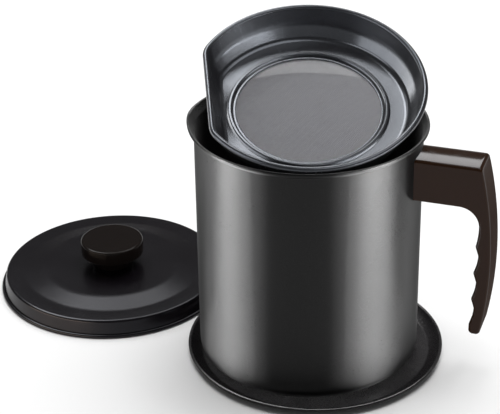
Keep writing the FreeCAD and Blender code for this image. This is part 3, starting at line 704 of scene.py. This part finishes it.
# strainer pan
panSizes = dict(bead=1.65, radius=66.0, chord=57.25, corner=15.0, wallIn=1.0, wall=0.6, depth=19.0,
                shoulderIn=3.0, shoulderDown=9.6, shoulderRound=18.0, footIn=8.0, floorRound=4.5, floorIn=10.4,
                floorRise=0.4, chordEase=0.84, rib=45.5, ribHeight=1.7, ribWidth=3.4, wellDepth=1.6, ledge=1.8,
                floorReach=11.0, ribClear=0.06, ribStagger=0.02, shoulderShare=0.25, footShare=0.6,
                beadFrom=192.0, beadTo=-84.0, leastCorner=1.0, meshThick=0.6, retainerThick=0.8, slip=0.15,
                retainerRound=0.3, retainerFoot=0.15, retainerSeam=0.5)
seatSizes = dict(rimRadius=68.35, rimHeight=149.65, rimBead=1.65, gap=0.3, tilt=20.4, facing=-70.8, turn=3.9,
                 lean=23.6)


def panPlace(pan, s):  # tips the pan as it lies, its low edge on the pot's rim
    tilt, lean = math.radians(s["tilt"]), math.radians(s["lean"])
    apart = s["rimBead"] + pan["bead"] + s["gap"]
    lowReach = s["rimRadius"] - apart * math.sin(lean)
    lowHeight = s["rimHeight"] + apart * math.cos(lean)
    facing = Matrix.Rotation(math.radians(s["facing"] + 90), 4, "Z")
    centre = facing @ Vector((0, pan["radius"] * math.cos(tilt) - lowReach, 0))
    centre.z = lowHeight + pan["radius"] * math.sin(tilt)
    turned = facing @ Matrix.Rotation(tilt, 4, "X") @ Matrix.Rotation(math.radians(s["turn"]), 4, "Z")
    return Matrix.Translation(centre * mm) @ turned


panMatrix = panPlace(panSizes, seatSizes)
sideSteps = dict(round=150, corner=22, straight=26)


def dShape(radius, chord, corner):  # points round a circle with one side cut straight, in millimetres
    middle = Vector((corner - chord, math.sqrt((radius - corner) ** 2 - (chord - corner) ** 2)))
    meet = math.atan2(middle.y, middle.x)
    points = []
    for k in range(sideSteps["round"]):
        angle = -meet + 2 * meet * k / sideSteps["round"]
        points.append(Vector((radius * math.cos(angle), radius * math.sin(angle))))
    for k in range(sideSteps["corner"]):
        angle = meet + (math.pi - meet) * k / sideSteps["corner"]
        points.append(middle + Vector((corner * math.cos(angle), corner * math.sin(angle))))
    for k in range(sideSteps["straight"]):
        points.append(Vector((-chord, middle.y - 2 * middle.y * k / sideSteps["straight"])))
    for k in range(sideSteps["corner"]):
        angle = math.pi + (math.pi - meet) * k / sideSteps["corner"]
        points.append(Vector((middle.x + corner * math.cos(angle), corner * math.sin(angle) - middle.y)))
    return points


def panRing(s, inset, height):
    # inset is measured from the rim's centre line; on the flat floor the corners tighten as well
    onFloor = max(0.0, inset - s["floorIn"])
    onWall = max(0.0, min(inset, s["floorIn"]) - s["wallIn"])
    chordIn = min(inset, s["wallIn"]) + onWall * s["chordEase"] + onFloor
    corner = max(s["leastCorner"], s["corner"] - min(inset, s["wallIn"]) - onFloor)
    return [Vector((p.x, p.y, height)) for p in dShape(s["radius"] - inset, s["chord"] - chordIn, corner)]


def makePan(s):
    wall, depth = s["wall"], s["depth"]
    ribOut, ribIn = s["rib"] + s["ribWidth"] / 2, s["rib"] - s["ribWidth"] / 2
    lip = math.degrees(math.asin(s["wallIn"] / s["bead"]))
    foot = depth - s["floorRise"]
    inside = softLine([
        (s["wallIn"] + wall, 0),
        (s["shoulderIn"] + wall, -s["shoulderDown"] + wall * s["shoulderShare"], s["shoulderRound"]),
        (s["footIn"] + wall * s["footShare"], -foot, s["floorRound"]),
        (s["footIn"] + s["floorReach"], -foot - s["floorRise"]),
    ], steps=12)
    outside = softLine([
        (s["wallIn"], 0),
        (s["shoulderIn"], -s["shoulderDown"], s["shoulderRound"] + wall),
        (s["footIn"], -foot - wall, s["floorRound"] + wall),
        (s["footIn"] + s["floorReach"], -foot - wall - s["floorRise"]),
    ], steps=12)
    bead = beadArc((0, 0), s["bead"], s["beadFrom"], s["beadTo"] - lip, steps=30)
    rim = [Vector((-p.x, p.y)) for p in bead]
    profile = inside[:-1][::-1] + rim + [p for p in outside[:-1] if p.y < -s["bead"]]
    shaped = [panRing(s, p.x, p.y) for p in profile]
    for ring, spot in zip(shaped, profile):
        if spot.y < -depth / 2:  # the floor stays clear of the rib
            for k, p in enumerate(ring):
                reach = math.hypot(p.x, p.y)
                least = ribOut + s["ribClear"] + s["ribStagger"] * (depth + spot.y)
                if reach < least:
                    ring[k] = Vector((p.x * least / reach, p.y * least / reach, p.z))
    angles = [math.atan2(p.y, p.x) for p in shaped[0]]
    ledgeTop = -depth - s["wellDepth"]
    crest = s["rib"], -depth + s["ribHeight"]
    # the rib's small offsets ease it out of the floor and down into the well
    ribTop = softLine([
        (ribOut, -depth),
        (crest[0] + 0.9, crest[1] - 0.15, 0.8),
        (crest[0] - 0.8, crest[1] - 0.05, 0.7),
        (ribIn, -depth),
        (ribIn, ledgeTop, 0.5),
        (ribIn - s["ledge"], ledgeTop),
    ], steps=6)
    ribUnder = softLine([
        (ribIn - s["ledge"], ledgeTop - wall),
        (ribIn + wall, ledgeTop - wall, 1.0),
        (ribIn + wall, -depth + 0.3, 0.4),
        (crest[0] + 0.2, crest[1] - wall - 0.1, 0.5),
        (ribOut - 0.2, -depth - wall),
    ], steps=6)

    def circle(point):
        return [Vector((point.x * math.cos(a), point.x * math.sin(a), point.y)) for a in angles]

    # from the well's ledge outward over the rib, up the wall, over the rim and back underneath
    loop = [circle(point) for point in ribTop[::-1]] + shaped + [circle(point) for point in ribUnder[::-1]]
    along = [0.0]
    for k in range(len(loop)):
        along.append(along[-1] + (loop[(k + 1) % len(loop)][0] - loop[k][0]).length * mm)
    world = [[panMatrix @ (p * mm) for p in ring] for ring in loop]
    return skinRings("strainerPan", world, True, along)


place(makePan(panSizes), panCoat, "strainer", "pan_coat", "strainer_pan")


def makeRetainer(s):
    low = -s["depth"] - s["wellDepth"] + s["meshThick"]
    high = low + s["retainerThick"]
    outer = s["rib"] - s["ribWidth"] / 2 - s["slip"]
    inner = s["rib"] - s["ribWidth"] / 2 - s["ledge"]
    outline = softLine([
        ((inner + outer) / 2, low),
        (outer, low, s["retainerFoot"]),
        (outer, high, s["retainerRound"]),
        (inner, high, s["retainerRound"]),
        (inner, low, s["retainerFoot"]),
        ((inner + outer) / 2 - s["retainerSeam"], low),
    ], steps=4)
    ring = lathe("meshRetainer", outline, potPlace, 144)
    ring.data.transform(panMatrix)
    return ring


place(makeRetainer(panSizes), panCoat, "strainer", "pan_coat", "mesh_retainer")
print("strainer pan made")

# woven mesh
meshSizes = dict(pitch=0.64, wire=0.42, sides=3)


def makeWeaveTree():  # wires each way over a disc, passing over and under each other in turn
    tree = bpy.data.node_groups.new("wovenDisc", "GeometryNodeTree")
    for label, kind in (("Radius", "Float"), ("Pitch", "Float"), ("Wire", "Float"), ("Lift", "Float"),
                        ("Sides", "Int"), ("Material", "Material")):
        tree.interface.new_socket(label, in_out="INPUT", socket_type="NodeSocket" + kind)
    tree.interface.new_socket("Geometry", in_out="OUTPUT", socket_type="NodeSocketGeometry")
    given, result = tree.nodes.new("NodeGroupInput"), tree.nodes.new("NodeGroupOutput")
    radius, pitch, wire, lift = (given.outputs[k] for k in ("Radius", "Pitch", "Wire", "Lift"))

    def link(source, node, label):
        tree.links.new(source, node.inputs[label])

    def vector(x=None, y=None, z=None):
        node = addNode(tree, "ShaderNodeCombineXYZ")
        for socket, value in zip(node.inputs, (x, y, z)):
            if value is not None:
                tree.links.new(value, socket)
        return node.outputs[0]

    half = mathNode(tree, "FLOOR", mathNode(tree, "DIVIDE", radius, pitch))  # wires each side of the middle
    count = mathNode(tree, "ADD", mathNode(tree, "MULTIPLY", half, 2.0), 1.0)
    reach = mathNode(tree, "MULTIPLY", half, pitch)
    start = mathNode(tree, "MULTIPLY", reach, -1.0)
    line = addNode(tree, "GeometryNodeCurvePrimitiveLine")
    link(vector(x=start), line, "Start")
    link(vector(x=reach), line, "End")
    dotted = addNode(tree, "GeometryNodeResampleCurve")
    link(line.outputs["Curve"], dotted, "Curve")
    link(count, dotted, "Count")
    rows = addNode(tree, "GeometryNodeMeshLine")
    link(count, rows, "Count")
    link(vector(y=start), rows, "Start Location")
    link(vector(y=pitch), rows, "Offset")
    laid = addNode(tree, "GeometryNodeInstanceOnPoints")
    link(rows.outputs["Mesh"], laid, "Points")
    link(dotted.outputs["Curve"], laid, "Instance")
    oneWay = addNode(tree, "GeometryNodeRealizeInstances")
    link(laid.outputs["Instances"], oneWay, "Geometry")
    otherWay = addNode(tree, "GeometryNodeTransform")
    link(oneWay.outputs["Geometry"], otherWay, "Geometry")
    otherWay.inputs["Rotation"].default_value = (0, 0, math.pi / 2)

    spot = addNode(tree, "GeometryNodeInputPosition")
    parts = addNode(tree, "ShaderNodeSeparateXYZ")
    link(spot.outputs["Position"], parts, "Vector")
    column = mathNode(tree, "ROUND", mathNode(tree, "DIVIDE", parts.outputs["X"], pitch))
    row = mathNode(tree, "ROUND", mathNode(tree, "DIVIDE", parts.outputs["Y"], pitch))
    odd = mathNode(tree, "FLOORED_MODULO", mathNode(tree, "ADD", column, row), 2.0)
    sign = mathNode(tree, "SUBTRACT", 1.0, mathNode(tree, "MULTIPLY", odd, 2.0))
    raised = mathNode(tree, "MULTIPLY", sign, lift)
    lowered = mathNode(tree, "MULTIPLY", raised, -1.0)
    woven = addNode(tree, "GeometryNodeJoinGeometry")
    for source, rise in ((otherWay.outputs["Geometry"], lowered), (oneWay.outputs["Geometry"], raised)):
        bent = addNode(tree, "GeometryNodeSetPosition")
        link(source, bent, "Geometry")
        link(vector(z=rise), bent, "Offset")
        tree.links.new(bent.outputs["Geometry"], woven.inputs["Geometry"])
    far = addNode(tree, "ShaderNodeVectorMath", operation="LENGTH")
    link(spot.outputs["Position"], far, 0)
    outside = addNode(tree, "FunctionNodeCompare", operation="GREATER_THAN")
    link(far.outputs["Value"], outside, 0)
    link(mathNode(tree, "SUBTRACT", radius, wire), outside, 1)
    trimmed = addNode(tree, "GeometryNodeDeleteGeometry", domain="POINT")
    link(woven.outputs["Geometry"], trimmed, "Geometry")
    link(outside.outputs["Result"], trimmed, "Selection")
    section = addNode(tree, "GeometryNodeCurvePrimitiveCircle")
    link(given.outputs["Sides"], section, "Resolution")
    link(mathNode(tree, "MULTIPLY", wire, 0.5), section, "Radius")
    drawn = addNode(tree, "GeometryNodeCurveToMesh")
    link(trimmed.outputs["Geometry"], drawn, "Curve")
    link(section.outputs["Curve"], drawn, "Profile Curve")
    drawn.inputs["Fill Caps"].default_value = True
    smooth = addNode(tree, "GeometryNodeSetShadeSmooth")
    link(drawn.outputs["Mesh"], smooth, "Geometry")
    whole = addNode(tree, "GeometryNodeRealizeInstances")
    link(smooth.outputs["Geometry"], whole, "Geometry")
    painted = addNode(tree, "GeometryNodeSetMaterial")
    link(whole.outputs["Geometry"], painted, "Geometry")
    link(given.outputs["Material"], painted, "Material")
    tree.links.new(painted.outputs["Geometry"], result.inputs["Geometry"])
    return tree


def growPiece(name, tree, values):  # runs a Geometry Nodes tree and keeps the result as a plain mesh
    seedMesh = bpy.data.meshes.new(name + "Seed")
    seed = bpy.data.objects.new(name + "Seed", seedMesh)
    scene.collection.objects.link(seed)
    modifier = seed.modifiers.new("grow", "NODES")
    modifier.node_group = tree
    for item in tree.interface.items_tree:
        if item.item_type == "SOCKET" and item.in_out == "INPUT":
            modifier[item.identifier] = values[item.name]
    grown = seed.evaluated_get(bpy.context.evaluated_depsgraph_get())
    mesh = bpy.data.meshes.new_from_object(grown)
    mesh.name = name
    bpy.data.objects.remove(seed)
    piece = bpy.data.objects.new(name, mesh)
    scene.collection.objects.link(piece)
    return piece


def makeWovenMesh(s, pan):
    radius = pan["rib"] - pan["ribWidth"] / 2 - pan["slip"]
    lift = (pan["meshThick"] - s["wire"]) / 2
    piece = growPiece("strainerMesh", makeWeaveTree(), {
        "Radius": radius * mm, "Pitch": s["pitch"] * mm, "Wire": s["wire"] * mm, "Lift": lift * mm,
        "Sides": s["sides"], "Material": meshWire})
    height = -pan["depth"] - pan["wellDepth"] + pan["meshThick"] / 2
    piece.data.transform(panMatrix @ Matrix.Translation((0, 0, height * mm)))
    return piece


place(makeWovenMesh(meshSizes, panSizes), meshWire, "strainer", "mesh_wire", "strainer_mesh")
print("woven mesh made")

# small metal pieces kept from the frame
for node, material in (("handle_bracket", platedSteel), ("handle_screw", screwSteel), ("knob_insert", brass),
                       ("knob_washer", platedSteel), ("knob_screw", screwSteel)):
    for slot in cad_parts[node].material_slots:
        slot.material = material

# floor, light and camera
floorLook = dict(colour=(0.86, 0.86, 0.86), roughness=0.9, size=30.0)  # size in metres


def makeFloor(s):
    bm = bmesh.new()
    bmesh.ops.create_grid(bm, x_segments=1, y_segments=1, size=s["size"])
    floor = finishMesh("floor", bm)
    material = bpy.data.materials.new("paleFloor")
    material.use_nodes = True
    shader = material.node_tree.nodes["Principled BSDF"]
    shader.inputs["Base Color"].default_value = (*s["colour"], 1)
    shader.inputs["Roughness"].default_value = s["roughness"]
    shader.inputs["Specular IOR Level"].default_value = 0.0
    floor.data.materials.append(material)


makeFloor(floorLook)

# place in metres, focal length in pixels of a frame that is 500 wide
cameraSizes = dict(place=(0.25306, -0.83224, 0.557385), ahead=(-0.2904, 0.8338, -0.4695), roll=-0.95,
                   focalPixels=1656.08, frameWidth=500, sensor=36.0)


def makeCamera(s):
    data = bpy.data.cameras.new("camera")
    data.sensor_width = s["sensor"]
    data.lens = s["focalPixels"] * s["sensor"] / s["frameWidth"]
    camera = bpy.data.objects.new("camera", data)
    scene.collection.objects.link(camera)
    turned = Vector(s["ahead"]).to_track_quat("-Z", "Y").to_matrix().to_4x4()
    spin = Matrix.Rotation(math.radians(s["roll"]), 4, "Z")
    camera.matrix_world = Matrix.Translation(Vector(s["place"])) @ turned @ spin
    scene.camera = camera


makeCamera(cameraSizes)

panPieces = ("strainerPan", "meshRetainer", "strainerMesh")
openPieces = ("floor", "potShell", "coasterTray", "lidShell", "lidKnob", "handleGrip", "handle_bracket",
              "handle_screw", "knob_insert", "knob_washer", "knob_screw")
lampAim = Vector((0, 0, 0.08))
# bearing and height in degrees and distance in metres from lampAim; lights and blockedBy list pieces
lampSizes = dict(
    topRight=dict(bearing=62.0, height=64.0, distance=3.2, size=(2.6, 1.8), radiance=4.5,
                  lights=openPieces),
    topFront=dict(bearing=-20.0, height=62.0, distance=3.2, size=(2.6, 1.8), radiance=4.0,
                  lights=panPieces),
    backLeft=dict(bearing=135.0, height=48.0, distance=1.6, size=(1.3, 0.34), radiance=3.3),
    potLeft=dict(bearing=-152.0, height=-22.0, distance=1.1, size=(0.98, 0.98), turn=45.0, radiance=102.0,
                 lights=("potShell", "handleGrip"), blockedBy=("potShell", "handleGrip", "coasterTray")),
    potRight=dict(bearing=-8.0, height=-22.0, distance=1.1, size=(1.12, 1.12), turn=45.0, radiance=108.0,
                  lights=("potShell",), blockedBy=("potShell", "coasterTray")),
    lidLeft=dict(bearing=-128.0, height=-10.0, distance=1.1, size=(1.4, 0.8), radiance=7.0,
                 colour=(1.0, 0.78, 0.60),
                 lights=("lidShell", "lidKnob"), blockedBy=("lidShell", "lidKnob")),
    lidTop=dict(bearing=165.0, height=58.0, distance=1.6, size=(1.16, 0.92), radiance=9.0,
                lights=("lidShell", "lidKnob", "coasterTray"),
                blockedBy=("lidShell", "lidKnob", "coasterTray")),
    panLeft=dict(bearing=-164.0, height=2.0, distance=1.1, size=(2.0, 0.30), radiance=6.5,
                 lights=panPieces, blockedBy=("lidShell",)),
    panRight=dict(bearing=-8.0, height=-9.0, distance=1.1, size=(1.2, 0.28), radiance=27.0,
                  lights=panPieces, blockedBy=("lidShell",)),
    panBack=dict(bearing=126.0, height=64.0, distance=1.6, size=(0.5, 0.5), radiance=15.0,
                 lights=("strainerPan", "meshRetainer"), blockedBy=panPieces),
    panFront=dict(bearing=-132.0, height=28.0, distance=1.1, size=(0.8, 0.25), radiance=7.0,
                  lights=panPieces, blockedBy=panPieces),
    trayLip=dict(bearing=110.0, height=66.0, distance=1.4, size=(2.2, 0.35), radiance=30.0,
                 lights=("coasterTray",), blockedBy=("coasterTray",)),
    armStrip=dict(bearing=105.0, height=36.0, distance=1.4, size=(1.0, 0.34), radiance=6.0,
                  lights=("handleGrip", "potShell", "strainerPan"), blockedBy=("handleGrip",)))


def gather(name, pieces):  # a collection for light linking
    collection = bpy.data.collections.new(name)
    for piece in pieces:
        collection.objects.link(bpy.data.objects[piece])
    return collection


def makeLamps(lamps):
    for name, s in lamps.items():
        data = bpy.data.lights.new(name, "AREA")
        data.shape = "RECTANGLE"
        data.size, data.size_y = s["size"]
        data.energy = s["radiance"] * math.pi * data.size * data.size_y
        data.color = s.get("colour", (1, 1, 1))
        lamp = bpy.data.objects.new(name, data)
        scene.collection.objects.link(lamp)
        bearing, height = math.radians(s["bearing"]), math.radians(s["height"])
        flat = math.cos(height)
        away = Vector((math.cos(bearing) * flat, math.sin(bearing) * flat, math.sin(height)))
        facing = (-away).to_track_quat("-Z", "Y").to_matrix().to_4x4()
        turned = Matrix.Rotation(math.radians(s.get("turn", 0.0)), 4, "Z")
        lamp.matrix_world = Matrix.Translation(lampAim + away * s["distance"]) @ facing @ turned
        lamp.visible_camera = False
        if "lights" in s:
            lamp.light_linking.receiver_collection = gather(name + "Lights", s["lights"])
        if "blockedBy" in s:  # a reflector: it shows in the gloss and adds no light to the colours
            lamp.visible_diffuse = False
            lamp.light_linking.blocker_collection = gather(name + "BlockedBy", s["blockedBy"])


makeLamps(lampSizes)

sunLook = dict(strength=1.45, spread=40.0)


def makeSun(s):  # soft light from above on the floor alone
    data = bpy.data.lights.new("overhead", "SUN")
    data.energy = s["strength"]
    data.angle = math.radians(s["spread"])
    sun = bpy.data.objects.new("overhead", data)
    scene.collection.objects.link(sun)
    sun.light_linking.receiver_collection = gather("overheadLights", ("floor",))


makeSun(sunLook)

worldLook = dict(horizon=0.45, above=0.10, overhead=0.25, horizonEnd=0.05, aboveStart=0.17)


def makeWorld(s):  # pale round the horizon, darker above
    world = bpy.data.worlds.new("studio")
    world.use_nodes = True
    tree = world.node_tree
    way = addNode(tree, "ShaderNodeTexCoord")
    parts = addNode(tree, "ShaderNodeSeparateXYZ")
    tree.links.new(way.outputs["Generated"], parts.inputs["Vector"])
    ramp = addNode(tree, "ShaderNodeValToRGB")
    tree.links.new(parts.outputs["Z"], ramp.inputs["Fac"])
    stops = ((0.0, s["horizon"]), (s["horizonEnd"], s["horizon"]),
             (s["aboveStart"], s["above"]), (1.0, s["overhead"]))
    while len(ramp.color_ramp.elements) < len(stops):
        ramp.color_ramp.elements.new(0.5)
    for element, (position, level) in zip(ramp.color_ramp.elements, stops):
        element.position = position
        element.color = (level, level, level, 1)
    tree.links.new(ramp.outputs["Color"], tree.nodes["Background"].inputs["Color"])
    scene.world = world


makeWorld(worldLook)
scene.view_settings.view_transform = "Standard"
print("floor, lamps and camera set")
